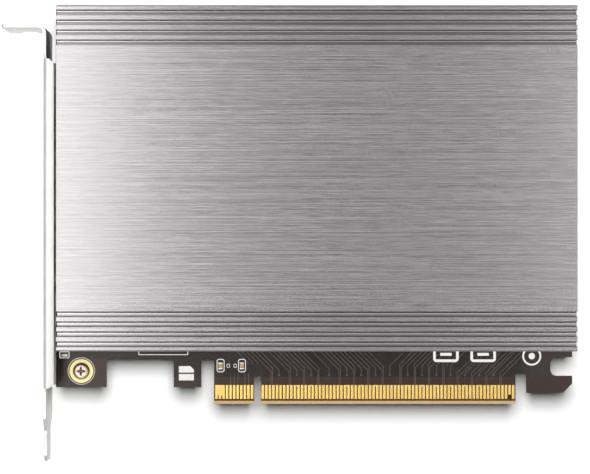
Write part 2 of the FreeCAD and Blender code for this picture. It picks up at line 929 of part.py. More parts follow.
def all_pieces():
    """Every node's name and solids."""
    pieces = {
        "circuit_board": [circuit_board()],
        "edge_contacts_component_side": contacts_component_side(),
        "edge_contacts_solder_side": contacts_solder_side(),
        "bracket_hole_plating": bracket_hole_plating(),
        "heat_sink": [heat_sink()],
        "heat_sink_screws": heat_sink_screws(),
        "bracket": [bracket()],
        "bracket_screws": bracket_screws(),
        "module_screws": module_screws(),
    }
    for n, (y, back, way) in enumerate(bays(), 1):
        housing, pins = socket_parts(y, back, way)
        pieces[f"module_socket_{n}"] = [housing]
        pieces[f"module_socket_pins_{n}"] = pins
        pieces[f"module_standoff_{n}"] = [module_standoff(module_end(back, way, fitted_module_length), y)]
        pieces[f"thermal_pad_{n}"] = [thermal_pad(y, back, way)]
    coil_ends = []
    for n, (x, y) in enumerate(coil_places(), 1):
        body, ends = coil(x, y)
        coil_ends += ends
        pieces[f"power_coil_{n}"] = [body]
        pieces[f"voltage_regulator_{n}"] = [regulator(x, y)]
    pieces["power_coil_terminals"] = coil_ends
    for n, place in enumerate(filter_capacitor_places, 1):
        body, caps = chip(filter_capacitor_size, *place)
        pieces[f"filter_capacitor_{n}"] = [body]
        pieces[f"filter_capacitor_terminals_{n}"] = caps
    for n, place in enumerate(bulk_capacitor_places(), 1):
        body, caps = chip(bulk_capacitor_size, *place)
        pieces[f"bulk_capacitor_{n}"] = [body]
        pieces[f"bulk_capacitor_terminals_{n}"] = caps
    pieces["status_lamps"], pieces["status_lamp_terminals"] = chips(
        lamp_size, lamp_places(), turn=90)
    pieces["coupling_capacitors"], pieces["coupling_capacitor_terminals"] = chips(
        coupling_size, coupling_places(), -1)
    body, leads = clock_chip()
    pieces["clock_chip"] = [body]
    pieces["clock_chip_leads"] = leads
    return pieces


os.makedirs("parts", exist_ok=True)
for node, solids in all_pieces().items():
    shape = solids[0] if len(solids) == 1 else Part.Compound(solids)
    shape.exportStep(f"parts/{node}.step")
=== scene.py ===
"""Looks of a four-bay storage adapter card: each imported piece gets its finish, and the marks, tracks,
threads and other fine parts that the solids leave out are built on them.

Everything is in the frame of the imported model: +X along the card away from the bracket, +Y from the
contacts to the top edge, +Z out of the component side. Sizes are in millimetres times mm.
"""

import bmesh
import bpy
import math

from bmesh.types import BMEdge, BMFace, BMVert
from mathutils import Matrix, Vector


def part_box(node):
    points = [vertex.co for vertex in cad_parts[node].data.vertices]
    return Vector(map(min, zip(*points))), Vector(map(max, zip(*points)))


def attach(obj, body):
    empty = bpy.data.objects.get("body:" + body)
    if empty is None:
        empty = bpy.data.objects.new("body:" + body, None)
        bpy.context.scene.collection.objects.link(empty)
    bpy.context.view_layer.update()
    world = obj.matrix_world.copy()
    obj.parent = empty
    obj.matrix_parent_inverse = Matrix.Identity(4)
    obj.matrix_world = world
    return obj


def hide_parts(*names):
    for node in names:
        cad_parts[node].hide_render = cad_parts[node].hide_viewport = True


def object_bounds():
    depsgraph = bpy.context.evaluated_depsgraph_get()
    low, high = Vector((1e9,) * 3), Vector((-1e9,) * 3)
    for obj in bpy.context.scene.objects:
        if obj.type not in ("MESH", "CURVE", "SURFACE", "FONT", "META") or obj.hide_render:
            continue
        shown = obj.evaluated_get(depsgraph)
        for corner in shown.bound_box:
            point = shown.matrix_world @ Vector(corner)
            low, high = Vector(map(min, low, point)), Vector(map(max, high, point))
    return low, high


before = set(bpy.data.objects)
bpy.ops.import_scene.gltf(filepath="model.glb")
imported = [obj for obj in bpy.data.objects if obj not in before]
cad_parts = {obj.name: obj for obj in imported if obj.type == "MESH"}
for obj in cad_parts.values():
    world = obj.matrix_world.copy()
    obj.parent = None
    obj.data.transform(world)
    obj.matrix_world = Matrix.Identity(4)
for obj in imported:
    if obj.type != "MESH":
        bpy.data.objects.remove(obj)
cad_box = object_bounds()
mm = 0.001


# Circuit board. Copper layers pressed between woven glass and resin under a black-brown solder
# mask. It is routed to outline, and the contact edge is bevelled after plating, which leaves that
# strip as bare laminate with a pale sanded bevel.
board_low, board_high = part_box("circuit_board")
contacts_low, contacts_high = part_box("edge_contacts_component_side")
bare_margin = 0.35 * mm
bare_top = contacts_high.y + 0.06 * mm
sanded_rise = 0.85 * mm
plated_rise = 1.5 * mm
warm_strip_rise = 7.6 * mm
# Where the mask's painted sheen begins, and the length over which it fades in
sheen_start = 73 * mm
sheen_fade = 4 * mm
bracket_tab_end = -42.25 * mm
bracket_tab_rise = 12.7 * mm
glass_thread_pitch = 0.45 * mm
# The wave texture repeats itself over this length at a scale of one
wave_period = 0.314
weave_depth = 0.000002
# Sanding lines to the metre, along each axis
sanding_lines = (6000.0, 600.0, 600.0)
bare_laminate_roughness = 0.35
# The routed edge is what faces up or down by less than this share
edge_up_to = 0.3


def fill_in(tree, node, inputs):
    """Joins a node's inputs to outputs, or sets them to values. Spaces in names may be written _."""
    for name, value in inputs.items():
        socket = node.inputs[name.replace("_", " ") if isinstance(name, str) else name]
        if isinstance(value, bpy.types.NodeSocket):
            tree.links.new(value, socket)
        else:
            socket.default_value = value


def add_node(tree, kind, inputs=None, **settings):
    """One shader node with its settings, and its inputs filled in."""
    made = tree.nodes.new("ShaderNode" + kind)
    for name, value in settings.items():
        setattr(made, name, value)
    fill_in(tree, made, inputs or {})
    return made


def sum_up(tree, how, first, second=0.0, clamp=False):
    """The result of one sum on two values."""
    return add_node(tree, "Math", {0: first, 1: second}, operation=how, use_clamp=clamp).outputs[0]


def product(tree, first, second):
    return sum_up(tree, "MULTIPLY", first, second)


def above(tree, value, limit):
    """One where a value is over a limit, and nought elsewhere."""
    return sum_up(tree, "GREATER_THAN", value, limit)


def below(tree, value, limit):
    """One where a value is under a limit, and nought elsewhere."""
    return sum_up(tree, "LESS_THAN", value, limit)


def mix(tree, share, first, second):
    """One colour or value over another, as far as share says."""
    return add_node(tree, "Mix", {0: share, 6: first, 7: second}, data_type="RGBA").outputs[2]


def spread_over(tree, value, low, high, first=0.0, last=1.0):
    """A value between two limits, spread over another range."""
    return add_node(tree, "MapRange", {"Value": value, "From Min": low, "From Max": high,
                                       "To Min": first, "To Max": last}).outputs[0]


def add_waves(tree, place, scale, distortion, detail_scale, **settings):
    """Bands or rings, from nought to one."""
    return add_node(tree, "TexWave", {"Vector": place, "Scale": scale, "Distortion": distortion,
                                      "Detail Scale": detail_scale}, **settings).outputs["Fac"]


def add_noise(tree, place, scale, detail=2.0):
    """Noise from nought to one, with its own scale along each axis."""
    stretched = add_node(tree, "Mapping", {"Vector": place, "Scale": scale}).outputs[0]
    noise = add_node(tree, "TexNoise", {"Vector": stretched, "Scale": 1.0, "Detail": detail})
    return noise.outputs["Fac"]


def shade(red, green, blue):
    """A colour read off a card, 0 to 255, as the shader takes it."""
    values = [c / 255 for c in (red, green, blue)]
    return tuple(c / 12.92 if c <= 0.04045 else ((c + 0.055) / 1.055) ** 2.4 for c in values) + (1.0,)


def object_place(tree):
    """The coordinates of the piece that wears a finish."""
    return add_node(tree, "TexCoord").outputs["Object"]


def new_finish(name, **sockets):
    """A finish with what is the same all over it set on its shader: the finish, its nodes and the
    shader."""
    finish = bpy.data.materials.new(name)
    finish.use_nodes = True
    tree = finish.node_tree
    shader = tree.nodes["Principled BSDF"]
    fill_in(tree, shader, sockets)
    return finish, tree, shader


def join_up(tree, shader, **sockets):
    """Joins the outputs that change over the surface to the shader's sockets."""
    fill_in(tree, shader, sockets)


def wear(finish, *nodes):
    """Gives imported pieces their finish."""
    for name in nodes:
        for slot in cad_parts[name].material_slots:
            slot.material = finish


def make_grain_group():
    """Fine grain for moulded, printed and plated surfaces: a colour that shifts a little from place
    to place, a roughness that varies, and a grain in the normal."""
    group = bpy.data.node_groups.new("surface_grain", "ShaderNodeTree")
    for way, kind, names in (
        ("INPUT", "NodeSocketColor", ("Colour", "Second Colour")),
        ("INPUT", "NodeSocketFloat", ("Patch Size", "Grain Size", "Grain Depth", "Roughness",
                                      "Roughness Spread")),
        ("OUTPUT", "NodeSocketColor", ("Colour",)),
        ("OUTPUT", "NodeSocketFloat", ("Roughness",)),
        ("OUTPUT", "NodeSocketVector", ("Normal",)),
    ):
        for name in names:
            group.interface.new_socket(name=name, in_out=way, socket_type=kind)
    given = group.nodes.new("NodeGroupInput").outputs
    place = object_place(group)
    patch_scale = sum_up(group, "DIVIDE", 1.0, given["Patch Size"])
    grain_scale = sum_up(group, "DIVIDE", 1.0, given["Grain Size"])
    patches = add_node(group, "TexNoise", {"Vector": place, "Scale": patch_scale, "Detail": 3.0})
    grain = add_node(group, "TexNoise", {"Vector": place, "Scale": grain_scale, "Detail": 2.0})
    mixed = sum_up(group, "ADD", product(group, patches.outputs["Fac"], 0.7),
                   product(group, grain.outputs["Fac"], 0.3))
    colour = mix(group, spread_over(group, mixed, 0.35, 0.65), given["Colour"], given["Second Colour"])
    swing = product(group, sum_up(group, "SUBTRACT", mixed, 0.5), given["Roughness Spread"])
    roughness = sum_up(group, "ADD", given["Roughness"], product(group, swing, 4.0), clamp=True)
    bump = add_node(group, "Bump", {"Height": grain.outputs["Fac"], "Distance": given["Grain Depth"]})
    fill_in(group, group.nodes.new("NodeGroupOutput"), {
        "Colour": colour, "Roughness": roughness, "Normal": bump.outputs["Normal"]})
    return group


surface_grain = make_grain_group()


def add_grain(tree, **inputs):
    """The shared grain in one finish, with that finish's own values."""
    return add_node(tree, "Group", inputs, node_tree=surface_grain).outputs


def between(tree, value, low, high):
    """One where a value lies between two others, and nought elsewhere."""
    over = above(tree, value, low)
    return product(tree, over, below(tree, value, high))


def face_direction(tree):
    """The way a face looks, as its share along each axis."""
    normal = add_node(tree, "NewGeometry").outputs["True Normal"]
    return add_node(tree, "SeparateXYZ", {0: normal}).outputs


def make_glass_weave(tree, place):
    """The crossed threads of the glass cloth, as a height from nought to one."""
    threads = [add_waves(tree, place, scale=wave_period / glass_thread_pitch, distortion=0.6,
                         detail_scale=2.0, bands_direction=way) for way in ("X", "Y")]
    return product(tree, *threads)


def make_board_finish():
    finish, tree, shader = new_finish("solder_mask", Specular_IOR_Level=0.24,
                                      Specular_Tint=(1.0, 0.88, 0.82, 1.0))
    place = object_place(tree)
    axes = add_node(tree, "SeparateXYZ", {0: place}).outputs
    level = sum_up(tree, "ABSOLUTE", face_direction(tree)["Z"])
    weave = make_glass_weave(tree, place)
    mask = add_grain(tree, Colour=shade(17, 12, 14), Second_Colour=shade(24, 18, 20),
                     Patch_Size=0.006, Grain_Size=0.00012, Grain_Depth=0.000002,
                     Roughness=0.26, Roughness_Spread=0.06)
    # The inner copper stops short of the contacts and of the bracket tab, so the mask looks warmer
    in_tab = product(tree, below(tree, axes["X"], bracket_tab_end),
                     below(tree, axes["Y"], bracket_tab_rise))
    warm = sum_up(tree, "MAXIMUM", below(tree, axes["Y"], warm_strip_rise), in_tab)
    # Painted shade: across the tab the warm mask is painted darker toward the bracket, where its shadow
    # falls
    warm_mask_with_bracket_shade = mix(tree, spread_over(tree, axes["X"], board_low.x, bracket_tab_end),
                    shade(22, 14, 11), shade(46, 35, 31))
    # Past the last track the mask is painted lighter toward the end away from the bracket, a painted
    # sheen
    painted_sheen = spread_over(tree, axes["X"], sheen_start, sheen_start + sheen_fade)
    masked = mix(tree, painted_sheen, mask["Colour"], shade(44, 39, 38))
    masked = mix(tree, warm, masked, warm_mask_with_bracket_shade)
    laminate = mix(tree, weave, shade(44, 28, 4), shade(60, 40, 8))
    strip = mix(tree, spread_over(tree, axes["Y"], sanded_rise, plated_rise),
                shade(134, 81, 4), laminate)
    sanding = add_noise(tree, place, sanding_lines)
    sanded = mix(tree, sanding, shade(218, 182, 132), shade(250, 224, 176))
    strip = mix(tree, below(tree, axes["Y"], sanded_rise), strip, sanded)
    in_strip = product(tree, below(tree, axes["Y"], bare_top), between(
        tree, axes["X"], contacts_low.x - bare_margin, contacts_high.x + bare_margin))
    face = mix(tree, in_strip, masked, strip)
    # Routed edges show the layers of glass cloth one above the other
    layers = add_waves(tree, place, scale=900.0, distortion=1.5, detail_scale=3.0, bands_direction="Z")
    routed = mix(tree, layers, shade(96, 80, 52), shade(130, 112, 76))
    on_edge = below(tree, level, edge_up_to)
    colour = mix(tree, on_edge, face, routed)
    bare = sum_up(tree, "MAXIMUM", in_strip, on_edge)
    roughness = sum_up(tree, "ADD", mask["Roughness"], product(tree, bare, bare_laminate_roughness),
                       clamp=True)
    bump = add_node(tree, "Bump", {"Height": weave, "Distance": weave_depth, "Normal": mask["Normal"]})
    join_up(tree, shader, Base_Color=colour, Roughness=roughness, Normal=bump.outputs[0])
    return finish


wear(make_board_finish(), "circuit_board")


# Copper tracks under the mask. Pairs of fine tracks leave the contacts, with a ground track between
# the pairs from its own through hole, and all run off at 45 degrees. Etched copper 30 micrometres
# thick, which the mask follows as a low ridge.
track_height = 0.03 * mm
pair_track_width = 0.16 * mm
pair_track_spacing = 0.38 * mm
ground_track_width = 0.17 * mm
ground_via_rise = 8.1 * mm
shortest_run = 0.5 * mm
fan_step = 0.95 * mm
via_radius = 0.32 * mm
via_bore = 0.13 * mm
via_height = 1.2 * track_height
via_sides = 12
sink_low, sink_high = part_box("heat_sink")
run_under_sink = 6 * mm
key_to_contact = 1.5 * mm
last_before_key = 11
contact_pitch = 1.0 * mm
left_group_end = 37 * mm
# Where each group of tracks ends along the edge, and the height at which it turns
track_groups = ((20 * mm, 9.1 * mm), (left_group_end, 9.5 * mm), (55 * mm, 10.2 * mm),
                (math.inf, 7.7 * mm))
component_side_pairs = (14, 19, 23, 27, 33, 37, 41, 45, 50, 54, 58, 62, 66, 70, 74, 78)
component_side_grounds = (16, 21, 25, 30, 35, 39, 43, 47, 52, 56, 60, 64, 68, 72, 76)
tracks_above_key = (-2.68 * mm, -1.35 * mm, -0.02 * mm)
above_key_start = 11.0 * mm
above_key_turn = 11.6 * mm
short_block_tracks = (5, 6, 7, 9, 10)
short_block_rise = 8.4 * mm


def contact_x(number):
    """The place of a contact along the edge, counted from 1 as on every such card."""
    if number > last_before_key:
        return key_to_contact + (number - last_before_key - 1) * contact_pitch
    return -key_to_contact - (last_before_key - number) * contact_pitch


def make_plain_finish(name, first, second, patch, grain, depth, roughness, spread, **sockets):
    """A finish that is the shared grain and nothing more."""
    finish, tree, shader = new_finish(name, **sockets)
    skin_and_groove_shade = add_grain(tree, Colour=first, Second_Colour=second, Patch_Size=patch, Grain_Size=grain,
                     Grain_Depth=depth, Roughness=roughness, Roughness_Spread=spread)
    join_up(tree, shader, Base_Color=skin_and_groove_shade["Colour"], Roughness=skin_and_groove_shade["Roughness"], Normal=skin_and_groove_shade["Normal"])
    return finish


def make_mesh(name, shape):
    mesh = bpy.data.meshes.new(name)
    shape.to_mesh(mesh)
    shape.free()
    return mesh


def add_object(name, data):
    made = bpy.data.objects.new(name, data)
    bpy.context.scene.collection.objects.link(made)
    return made


def finish_piece(name, shape, finish, smooth=None):
    """Makes a built shape a piece of the card that rides on it, its faces turned outwards."""
    bmesh.ops.recalc_face_normals(shape, faces=shape.faces[:])
    mesh = make_mesh(name, shape)
    mesh.materials.append(finish)
    piece = add_object(name, mesh)
    if smooth is not None:
        mesh.shade_smooth()
        mesh.set_sharp_from_angle(angle=math.radians(smooth))
    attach(piece, "root")
    return piece


def pick(made, kind):
    """The vertices, edges or faces among what an operator made."""
    return [g for g in made if isinstance(g, kind)]


def raise_faces(shape, faces, height):
    """Gives flat faces their thickness, upwards or downwards."""
    made = bmesh.ops.extrude_face_region(shape, geom=faces, use_keep_orig=True)["geom"]
    bmesh.ops.translate(shape, verts=pick(made, BMVert), vec=(0.0, 0.0, height))


def lay_strip(shape, points, width, height, level, closed=False):
    """A flat strip along straight legs, mitred at each turn and raised off its face. A negative
    height makes it hang."""
    spots = [Vector((x, y, level)) for x, y in points]
    legs = [(after - before).normalized() for before, after in zip(spots, spots[1:] + spots[:1])]
    if closed:
        spots.append(spots[0])
        legs = legs[-1:] + legs + legs[:1]
    else:
        legs = legs[:1] + legs[:-1] + legs[-2:-1]
    edge = None
    faces = []
    for spot, before, after in zip(spots, legs, legs[1:]):
        along = (before + after).normalized()
        across = Vector((-along.y, along.x, 0.0)) * (width / 2 / along.dot(before))
        if edge is None:
            edge = shape.edges.new((shape.verts.new(spot + across), shape.verts.new(spot - across)))
            left = edge.verts[0]
            continue
        made = bmesh.ops.extrude_edge_only(shape, edges=[edge])["geom"]
        new_left = next(v for e in left.link_edges for v in e.verts if v in made and v is not left)
        edge = next(e for e in pick(made, BMEdge) if all(v in made for v in e.verts))
        new_right = edge.other_vert(new_left)
        new_left.co, new_right.co = spot + across, spot - across
        left = new_left
        faces += pick(made, BMFace)
    verts = list({v for f in faces for v in f.verts})
    if closed:
        bmesh.ops.remove_doubles(shape, verts=verts, dist=0.001 * mm)
        faces = [f for f in faces if f.is_valid]
    raise_faces(shape, faces, height)


def lay_disc(shape, x, y, radius, height, level, sides, bore=0.0):
    """A thin disc, or a ring where it has a bore."""
    spot = Matrix.Translation((x, y, level))
    if not bore:
        made = bmesh.ops.create_circle(shape, cap_ends=True, segments=sides, radius=radius, matrix=spot)
        raise_faces(shape, list({f for v in made["verts"] for f in v.link_faces}), height)
        return
    made = bmesh.ops.create_circle(shape, segments=sides, radius=bore, matrix=spot)
    edges = list({e for v in made["verts"] for e in v.link_edges})
    outer = bmesh.ops.extrude_edge_only(shape, edges=edges)["geom"]
    bmesh.ops.scale(shape, verts=pick(outer, BMVert), vec=(radius / bore, radius / bore, 1.0),
                    space=Matrix.Translation((-x, -y, 0.0)))
    raise_faces(shape, pick(outer, BMFace), height)


def lay_via(shape, x, y, height, level):
    """The plated ring of a through hole."""
    lay_disc(shape, x, y, via_radius, height, level, via_sides, via_bore)


def way_out(x):
    """Tracks run off towards the bracket in the left half and away from it in the right half."""
    return -1.0 if x < left_group_end else 1.0


def track_route(x, start, turn):
    """A track from the contacts up to its turn, then off at 45 degrees until the heat sink hides it."""
    end = sink_low.y + run_under_sink
    return [(x, start), (x, turn), (x + way_out(x) * (end - turn), end)]


def turn_height(x):
    """The height at which the tracks of a group turn."""
    return next(height for end, height in track_groups if x < end)


def make_component_side_tracks():
    shape = bmesh.new()
    level = board_high.z
    for number in component_side_pairs:
        x = contact_x(number) + contact_pitch / 2
        for side in (-1, 1):
            turn = turn_height(x) + (fan_step if side * way_out(x) < 0 else 0.0)
            route = track_route(x + side * pair_track_spacing / 2, contacts_high.y, turn)
            lay_strip(shape, route, pair_track_width, track_height, level)
    for number in component_side_grounds:
        x = contact_x(number) + contact_pitch / 2
        turn = max(turn_height(x) + fan_step / 2, ground_via_rise + shortest_run)
        route = track_route(x, ground_via_rise + via_radius, turn)
        lay_strip(shape, route, ground_track_width, track_height, level)
        lay_via(shape, x, ground_via_rise, via_height, level)
    for x in tracks_above_key:
        route = track_route(x, above_key_start, above_key_turn)
        lay_strip(shape, route, ground_track_width, track_height, level)
    # The short block's contacts go straight up
    for number in short_block_tracks:
        x = contact_x(number)
        lay_strip(shape, [(x, contacts_high.y), (x, short_block_rise)], pair_track_width, track_height,
                  level)
    finish_piece("tracks_component_side", shape, track_finish)


track_finish = make_plain_finish("mask_over_copper", shade(80, 69, 66), shade(92, 80, 76), 0.003,
                                 0.0001, 0.000002, 0.26, 0.06, Specular_IOR_Level=0.3,
                                 Specular_Tint=(1.0, 0.88, 0.86, 1.0))
make_component_side_tracks()


# Tracks on the solder side. Each transmitting contact has a fine track up to its coupling capacitor,
# past which the two of a pair close up and run off at 45 degrees to through holes.
coupling_low, coupling_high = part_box("coupling_capacitors")
coupling_middle = (coupling_low.y + coupling_high.y) / 2
coupling_half = 0.5 * mm
closing_rise = 19.0 * mm
closing_leg = 0.6 * mm
straight_leg = 0.8 * mm
slant_run = 5.0 * mm
solder_ground_width = 1.2 * ground_track_width
solder_side_grounds = (23, 27, 37, 41, 45, 50, 54, 58, 62, 66, 70, 74, 78)


def make_solder_side_tracks():
    shape = bmesh.new()
    level = board_low.z
    for number in component_side_pairs:
        middle = contact_x(number) + contact_pitch / 2
        way = way_out(middle)
        for side in (-1, 1):
            x = middle + side * contact_pitch / 2
            close = middle + side * pair_track_spacing / 2
            lay_strip(shape, [(x, contacts_high.y), (x, coupling_middle - coupling_half)],
                      pair_track_width, -track_height, level)
            slant = closing_rise + straight_leg
            run = slant_run - side * way * pair_track_spacing / 2
            lay_strip(shape, [(x, coupling_middle + coupling_half), (x, closing_rise - closing_leg),
                              (close, closing_rise), (close, slant), (close + way * run, slant + run)],
                      pair_track_width, -track_height, level)
            lay_via(shape, close + way * run, slant + run, -via_height, level)
    for number in solder_side_grounds:
        x = contact_x(number) + contact_pitch / 2
        lay_strip(shape, [(x, contacts_high.y), (x, ground_via_rise - via_radius)], solder_ground_width,
                  -track_height, level)
        lay_via(shape, x, ground_via_rise, -via_height, level)
    finish_piece("tracks_solder_side", shape, track_finish)


make_solder_side_tracks()


# Edge contacts. Copper pads under nickel and hard gold, a little crowned across their width, with
# faint lengthwise wipe marks from the slot's springs. The bracket screws' rings are plated flat.
contact_half_width = 0.35 * mm
contact_crown = 0.016 * mm
wipe_lines = (9000.0, 300.0, 900.0)
wipe_share = 0.4
joined_contacts_end = contact_x(3) + contact_half_width


def make_crown(tree, place):
    """The crown across each contact, as a height from nought to one."""
    x = add_node(tree, "SeparateXYZ", {0: place}).outputs["X"]
    share = sum_up(tree, "FRACT", sum_up(tree, "DIVIDE", x, contact_pitch))
    side = sum_up(tree, "DIVIDE", sum_up(tree, "SUBTRACT", share, 0.5),
                  contact_half_width / contact_pitch)
    crown = sum_up(tree, "SUBTRACT", 1.0, product(tree, side, side), clamp=True)
    return product(tree, crown, above(tree, x, joined_contacts_end))


def make_gold_finish(name, first, second, worn, roughness, crowned):
    finish, tree, shader = new_finish(name, Metallic=1.0)
    place = object_place(tree)
    wipes = add_noise(tree, place, wipe_lines, 3.0)
    gold = add_grain(tree, Colour=first, Second_Colour=second, Patch_Size=0.004, Grain_Size=0.00008,
                     Grain_Depth=0.0000005, Roughness=roughness, Roughness_Spread=0.06)
    colour = mix(tree, product(tree, wipes, wipe_share), gold["Colour"], worn)
    join_up(tree, shader, Base_Color=colour, Roughness=gold["Roughness"], Normal=gold["Normal"])
    if crowned:
        bump = add_node(tree, "Bump", {"Height": make_crown(tree, place), "Distance": contact_crown,
                                       "Normal": gold["Normal"]})
        join_up(tree, shader, Normal=bump.outputs[0])
    return finish


gold_finish = make_gold_finish("hard_gold", shade(176, 151, 90), shade(186, 161, 100),
                               shade(158, 118, 52), 0.33, True)
ring_finish = make_gold_finish("flat_gold", shade(170, 160, 112), shade(184, 174, 126),
                               shade(158, 142, 90), 0.4, False)
wear(gold_finish, "edge_contacts_component_side", "edge_contacts_solder_side")
wear(ring_finish, "bracket_hole_plating")


# Lands round the heat sink's screws. Bare plated copper on the solder side, left free of mask so
# that each screw head bites on it.
sink_screw_columns = (-51.02 * mm, 84.0 * mm)
sink_screw_rows = (21.1 * mm, 62.825 * mm, 104.55 * mm)
sink_screw_places = [(x, y) for x in sink_screw_columns for y in sink_screw_rows]
land_radius = 3.3 * mm
land_sides = 48
screw_hole_radius = 1.4 * mm


def make_screw_lands():
    shape = bmesh.new()
    for x, y in sink_screw_places:
        lay_disc(shape, x, y, land_radius, -track_height, board_low.z, land_sides, screw_hole_radius)
    finish_piece("screw_lands", shape, ring_finish)


make_screw_lands()


# Printed marks. White ink screened on the mask: outlines, a ring round each bracket screw, a line
# along the sink's edge, a write-on patch, two plain boxes and a sighting ring with its dot. On the
# solder side, a ring round each land and a frame round the coupling capacitors.
ink_height = 0.04 * mm
ink_line = 0.18 * mm
low_screw = (-49.27 * mm, 9.23 * mm)
high_screw = (-49.27 * mm, 84.0 * mm)
screw_ring_radius = 3.72 * mm
screw_ring_line = 0.13 * mm
ring_sides = 64
box_places = ((52.7 * mm, 14.0 * mm), (63.1 * mm, 14.0 * mm))
# Each kind of outline: its places, half width, half height, corner radius, corner steps and line
printed_outlines = {
    "filter_capacitors": (((-10.33 * mm, 10.74 * mm), (-4.35 * mm, 10.74 * mm)),
                          0.98 * mm, 1.75 * mm, 0.55 * mm, 5, 1.2 * ink_line),
    "first_lamp": (((-54.0 * mm, 13.75 * mm),), 1.3 * mm, 0.85 * mm, 0.1 * mm, 1, ink_line),
    "small_rings": (((-8.2 * mm, 10.7 * mm), (-6.25 * mm, 10.7 * mm)),
                    0.38 * mm, 0.5 * mm, 0.3 * mm, 3, 0.15 * mm),
    "boxes": (box_places, 3.2 * mm, 1.9 * mm, 0.6 * mm, 5, 0.75 * mm),
}
bar_line = 0.8 * mm
bar_half = 1.6 * mm
bar_drop = 0.1 * mm
sink_line = ((-33.2 * mm, 16.5 * mm), (-33.2 * mm, 13.8 * mm), (-19.5 * mm, 13.8 * mm),
             (-19.5 * mm, 16.5 * mm))
# The write-on patch has two halves, the upper one with a corner clipped
lower_patch = ((-22.0 * mm, 6.6 * mm), (-17.8 * mm, 6.6 * mm), (-17.8 * mm, 8.4 * mm),
               (-22.0 * mm, 8.4 * mm))
upper_patch = ((-22.0 * mm, 8.8 * mm), (-17.8 * mm, 8.8 * mm), (-17.8 * mm, 9.6 * mm),
               (-18.8 * mm, 10.6 * mm), (-22.0 * mm, 10.6 * mm))
sight_place = (76.7 * mm, 13.4 * mm)
sight_radius, sight_bore, sight_dot = 2.65 * mm, 2.15 * mm, 0.9 * mm
sight_sides = 48
land_ring_gap = 0.4 * mm
land_ring_line = 0.2 * mm
coupling_margin = 0.7 * mm
# The half height and corner radius of the coupling capacitors' frame
coupling_frame = (1.0 * mm, 0.3 * mm)

ink_finish = make_plain_finish("white_ink", shade(240, 239, 236), shade(253, 252, 250), 0.001, 0.00008,
                               0.000002, 0.55, 0.1)


def rounded_outline(x, y, half_width, half_height, radius, steps):
    """The corner points of an outline with round corners, drawn anticlockwise."""
    points = []
    for quarter, (sx, sy) in enumerate(((1, 1), (-1, 1), (-1, -1), (1, -1))):
        middle = (x + sx * (half_width - radius), y + sy * (half_height - radius))
        for n in range(steps + 1):
            turn = math.radians(90 * (quarter + n / steps))
            points.append((middle[0] + radius * math.cos(turn), middle[1] + radius * math.sin(turn)))
    return points


def lay_patch(shape, points, height, level):
    """A filled patch."""
    face = shape.faces.new([shape.verts.new((x, y, level)) for x, y in points])
    raise_faces(shape, [face], height)


def make_printed_marks():
    shape = bmesh.new()
    level = board_high.z
    for places, *outline, line in printed_outlines.values():
        for place in places:
            lay_strip(shape, rounded_outline(*place, *outline), line, ink_height, level, True)
    for place in (low_screw, high_screw):
        lay_disc(shape, *place, screw_ring_radius + screw_ring_line / 2, ink_height, level, ring_sides,
                 screw_ring_radius - screw_ring_line / 2)
    lay_strip(shape, sink_line, ink_line, ink_height, level)
    for patch in (lower_patch, upper_patch):
        lay_patch(shape, patch, ink_height, level)
    # Each plain box has a bar in it
    for x, y in box_places:
        lay_strip(shape, [(x - bar_half, y - bar_drop), (x + bar_half, y - bar_drop)], bar_line,
                  ink_height, level)
    lay_disc(shape, *sight_place, sight_radius, ink_height, level, sight_sides, sight_bore)
    lay_disc(shape, *sight_place, sight_dot, ink_height, level, sight_sides // 2)
    finish_piece("printed_marks", shape, ink_finish)


def make_solder_side_marks():
    shape = bmesh.new()
    level = board_low.z
    land_ring_bore = land_radius + land_ring_gap
    for place in sink_screw_places:
        lay_disc(shape, *place, land_ring_bore + land_ring_line, -ink_height, level, ring_sides,
                 land_ring_bore)
    middle = (coupling_low.x + coupling_high.x) / 2
    half = (coupling_high.x - coupling_low.x) / 2 + coupling_margin
    lay_strip(shape, rounded_outline(middle, coupling_middle, half, *coupling_frame, 5), ink_line,
              -ink_height, level, True)
    finish_piece("printed_marks_solder_side", shape, ink_finish)


make_printed_marks()
make_solder_side_marks()


# Small parts soldered on the board: capacitors, lamps, coils, regulators, reservoirs and the clock
# chip. Fired, pressed or moulded bodies with tinned ends, those of the small chips held by fillets
# of solder.
solder_reach = 0.3 * mm
solder_rise_share = 0.55
fillet_drop_share = 0.85
fillet_tuck_share = 0.3
chip_edge_radius = 0.09 * mm
chip_body_inset = 0.03 * mm
cap_share = 0.25
lamp_count = 5
lamp_spacing = 11.0 * mm
lamp_half = 0.4 * mm
coupling_half_width = 0.25 * mm
coupling_fillet_rise = 0.3 * mm
# Edges that turn by less than these degrees are shown smooth
fine_part_smoothing = 40

tin_finish = make_plain_finish("tinned_ends", shade(150, 147, 140), shade(182, 178, 170), 0.0008,
                               0.00008, 0.000004, 0.36, 0.12, Metallic=1.0)
ceramic_finish = make_plain_finish("fired_ceramic", shade(176, 146, 98), shade(194, 164, 116), 0.0006,
                                   0.00005, 0.000002, 0.42, 0.1)
coil_finish = make_plain_finish("pressed_ferrite", shade(78, 78, 80), shade(98, 98, 99), 0.0009,
                                0.00008, 0.00001, 0.6, 0.12)
chip_finish = make_plain_finish("chip_epoxy", shade(30, 30, 31), shade(40, 40, 41), 0.001,
                                0.00006, 0.000006, 0.62, 0.1)
reservoir_finish = make_plain_finish("reservoir_epoxy", shade(196, 150, 42), shade(214, 170, 60), 0.001,
                                     0.00006, 0.000004, 0.4, 0.1)
lamp_finish = make_plain_finish("lamp_resin", shade(150, 148, 128), shade(170, 168, 148), 0.0006,
                                0.00005, 0.000002, 0.22, 0.1, Coat_Weight=0.4)
wear(tin_finish, "bulk_capacitor_terminals_1", "bulk_capacitor_terminals_2", "status_lamp_terminals",
     "coupling_capacitor_terminals", "power_coil_terminals", "clock_chip_leads")
wear(ceramic_finish, "coupling_capacitors")
